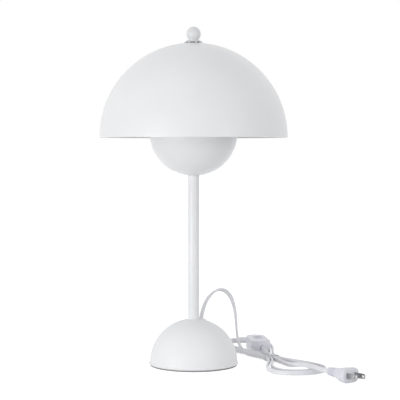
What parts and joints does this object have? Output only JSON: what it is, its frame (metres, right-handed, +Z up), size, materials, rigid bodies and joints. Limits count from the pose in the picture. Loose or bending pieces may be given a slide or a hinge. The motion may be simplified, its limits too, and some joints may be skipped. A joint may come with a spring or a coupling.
{
  "type": "mushroom table lamp",
  "caption": "White mushroom table lamp: domed shade over a round bowl on a slim pole and weighted domed base, with ball finial and a tied cord with inline switch and plug.",
  "frame": {"origin": "middle of the underside of the base pad, on the table", "axes": "+Z up along the pole, +X to the right and +Y to the back as the picture shows it"},
  "size_m": [0.3102, 0.3085, 0.4151],
  "materials": {
    "white_paint": "satin white powder coat",
    "plain_steel": "zinc plated steel",
    "brass": "plain brass",
    "dark_pad": "dark soft pad",
    "iron": "rough cast iron",
    "holder_plastic": "white moulded lampholder",
    "cap_metal": "bright pressed metal",
    "cap_glass": "dark insulating glass",
    "frosted_glass": "frosted bulb glass",
    "cord_white": "white flat twin cord",
    "tie_band": "white paper covered tie",
    "switch_plastic": "pale moulded plastic",
    "rocker_plastic": "pale moulded plastic",
    "plug_plastic": "pale moulded plastic",
    "blade_metal": "nickel plated blades"
  },
  "bodies": {
    "stand": {"bowl": "white_paint", "pole": "white_paint", "base_dome": "white_paint", "base_plate": "plain_steel", "plate_screws": "plain_steel", "base_washer": "plain_steel", "base_nut": "plain_steel", "spacer_tube": "plain_steel", "lower_nipple": "plain_steel", "upper_nipple": "plain_steel", "bowl_washer": "plain_steel", "bowl_nut": "plain_steel", "harp_saddle": "plain_steel", "harp_wire": "plain_steel", "rocker_pin": "plain_steel", "switch_screws": "plain_steel", "socket_screws": "plain_steel", "stud_block": "plain_steel", "shade_stud": "plain_steel", "shade_seat": "plain_steel", "harp_ferrules": "brass", "socket_contact": "brass", "switch_terminals": "brass", "switch_spring": "brass", "base_pad": "dark_pad", "base_weight": "iron", "cord_bushing": "cord_white", "socket_body": "holder_plastic", "socket_insulator": "holder_plastic", "socket_screw_shell": "cap_metal", "cord_inner": "cord_white", "cord_lead": "cord_white", "cord_hank_feed": "cord_white", "cord_hank_tail": "cord_white", "cord_tie": "tie_band", "switch_lower_shell": "switch_plastic", "switch_upper_shell": "switch_plastic", "plug_body": "plug_plastic", "plug_blade_left": "blade_metal", "plug_blade_right": "blade_metal"},
    "shade": {"shade": "white_paint", "vent_cap": "white_paint"},
    "finial_carrier": {"finial_washer": "white_paint"},
    "finial": {"finial_ball": "white_paint"},
    "bulb_carrier": {"bulb_contact": "cap_metal"},
    "bulb": {"bulb_insulator": "cap_glass", "bulb_cap": "cap_metal", "bulb_globe": "frosted_glass"},
    "rocker": {"switch_rocker": "rocker_plastic"}
  },
  "joints": [
    {"name": "rocker_tip", "type": "hinge", "parent": "stand", "child": "rocker", "pos_m": [0.08455, 0.10764, 0.013], "axis": [0.993, 0.1184, 0], "range_deg": [0, 16]},
    {"name": "shade_lift", "type": "slide", "parent": "stand", "child": "shade", "axis": [0, 0, 1], "range_m": [0, 0.14]},
    {"name": "finial_rise", "type": "slide", "parent": "shade", "child": "finial_carrier", "axis": [0, 0, 1], "range_m": [0, 0.0057]},
    {"name": "finial_turn", "type": "hinge", "parent": "finial_carrier", "child": "finial", "pos_m": [0, 0, 0.4], "axis": [0, 0, 1], "range_deg": [0, 2160]},
    {"name": "bulb_rise", "type": "slide", "parent": "stand", "child": "bulb_carrier", "axis": [0, 0, 1], "range_m": [0, 0.011]},
    {"name": "bulb_turn", "type": "hinge", "parent": "bulb_carrier", "child": "bulb", "pos_m": [0, 0, 0.27], "axis": [0, 0, 1], "range_deg": [0, 1080]}
  ],
  "couplings": [
    {"joint": "finial_rise", "follows": "finial_turn", "m_per_rad": 0.00014961},
    {"joint": "bulb_rise", "follows": "bulb_turn", "m_per_rad": 0.00057757}
  ]
}
